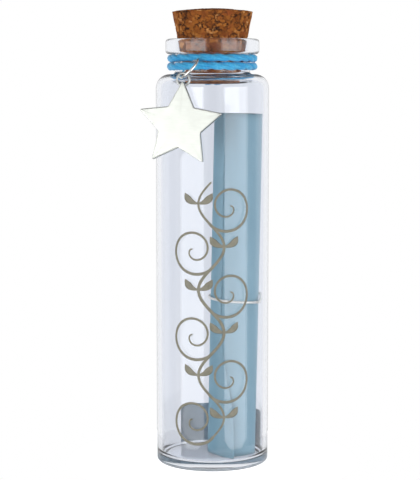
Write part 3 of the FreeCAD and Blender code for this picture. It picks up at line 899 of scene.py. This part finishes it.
def seen_straight(tree):
    """1 for rays from the camera that have been mirrored by nothing: they may have passed through glass."""
    light = add_node(tree, "LightPath").outputs
    clear = compute(tree, "MAXIMUM", light["Is Camera Ray"], light["Is Transmission Ray"])
    unmirrored = compute(tree, "LESS_THAN", light["Glossy Depth"], NO_BOUNCE)
    return compute(tree, "MULTIPLY", clear, unmirrored)


def make_floor():
    """Round pale floor that shows white away from the object's shadow."""
    bm = bmesh.new()
    bmesh.ops.create_circle(bm, cap_ends=True, segments=TABLE_SEGMENTS, radius=TABLE_RADIUS)
    bmesh.ops.translate(bm, verts=bm.verts, vec=(0, 0, -TABLE_DROP))
    mesh = bpy.data.meshes.new("floor")
    bm.to_mesh(mesh)
    bm.free()
    floor = bpy.data.objects.new("floor", mesh)
    bpy.context.scene.collection.objects.link(floor)
    material, tree, _ = new_finish("pale_floor")
    matt = add_node(tree, "BsdfDiffuse", {"Color": TABLE_GREY})
    camera = add_node(tree, "LightPath").outputs["Is Camera Ray"]
    glows = {"Value": camera, "To Min": MIRRORED_GLOW, "To Max": FLOOR_GLOW}
    level = add_node(tree, "MapRange", glows).outputs[0]
    shown = compute(tree, "MULTIPLY", shows_background(tree), level)
    glow = add_node(tree, "Emission", {"Strength": shown})
    both = add_node(tree, "AddShader", {0: matt.outputs["BSDF"], 1: glow.outputs["Emission"]})
    tree.links.new(both.outputs["Shader"], tree.nodes["Material Output"].inputs["Surface"])
    mesh.materials.append(material)


def make_world():
    """White all round, but glass mirrors a darker front, and metal mirrors four white panels on grey."""
    world = bpy.data.worlds.new("studio")
    world.use_nodes = True
    tree = world.node_tree
    fill = tree.nodes["Background"]
    fill.inputs["Color"].default_value = WHITE
    fill.inputs["Strength"].default_value = FILL
    way = add_node(tree, "SeparateXYZ", {"Vector": add_node(tree, "TexCoord").outputs["Generated"]}).outputs
    depth = {"Value": way["Y"], "From Min": FRONT_TO, "From Max": BACK_FROM}
    behind = add_node(tree, "MapRange", depth).outputs[0]
    boards = add_ramp(tree, behind, ((0.0, FRONT_GREY), (1.0, WHITE)))
    slant = compute(tree, "ABSOLUTE", compute(tree, "MULTIPLY", way["X"], way["Y"]))
    panels = add_ramp(tree, slant, ((AXIS_TO, AXIS_GREY), (PANEL_FROM, WHITE)))
    through = add_node(tree, "LightPath").outputs["Is Transmission Ray"]
    mirrored = blend(tree, "RGBA", through, panels, boards)
    seen = blend(tree, "RGBA", seen_straight(tree), mirrored, WHITE)
    backdrop = add_node(tree, "Background", {"Color": seen, "Strength": 1.0})
    both = add_node(tree, "MixShader", {"Fac": shows_background(tree), 1: fill.outputs["Background"],
                                        2: backdrop.outputs["Background"]})
    tree.links.new(both.outputs["Shader"], tree.nodes["World Output"].inputs["Surface"])
    bpy.context.scene.world = world


def add_softbox(name, bearing, radiance, mirrored):
    """Upright light panel that faces the object, at a bearing from the front towards the right."""
    light = bpy.data.lights.new(name, "AREA")
    light.shape = "RECTANGLE"
    light.size, light.size_y = BOX_SIZE
    light.energy = radiance * math.pi * BOX_SIZE[0] * BOX_SIZE[1]
    lamp = bpy.data.objects.new(name, light)
    bpy.context.scene.collection.objects.link(lamp)
    angle = math.radians(bearing)
    lamp.location = (BOX_DISTANCE * math.sin(angle), -BOX_DISTANCE * math.cos(angle), BOX_HEIGHT)
    lamp.rotation_euler = (math.pi / 2, 0, angle)
    lamp.visible_camera = False
    lamp.visible_glossy = mirrored
    lamp.visible_transmission = mirrored


def make_camera():
    camera = bpy.data.cameras.new("camera")
    camera.lens = CAMERA_LENS
    camera.sensor_width = CAMERA_SENSOR
    eye = bpy.data.objects.new("camera", camera)
    bpy.context.scene.collection.objects.link(eye)
    eye.location = CAMERA_AT
    eye.rotation_euler = (CAMERA_AIM - CAMERA_AT).to_track_quat("-Z", "Y").to_euler()
    bpy.context.scene.camera = eye


twine_finish = blue_twine()
make_bottle()
make_cork()
make_twine(twine_finish)
make_knot(twine_finish)
make_ring()
make_star()
make_letter()
make_tie()
make_vine()
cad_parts["back_label"].data.materials.clear()
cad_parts["back_label"].data.materials.append(sticker_paper())

make_floor()
make_world()
for softbox in SOFTBOXES:
    add_softbox(*softbox)
make_camera()
bpy.context.scene.view_settings.view_transform = "Standard"
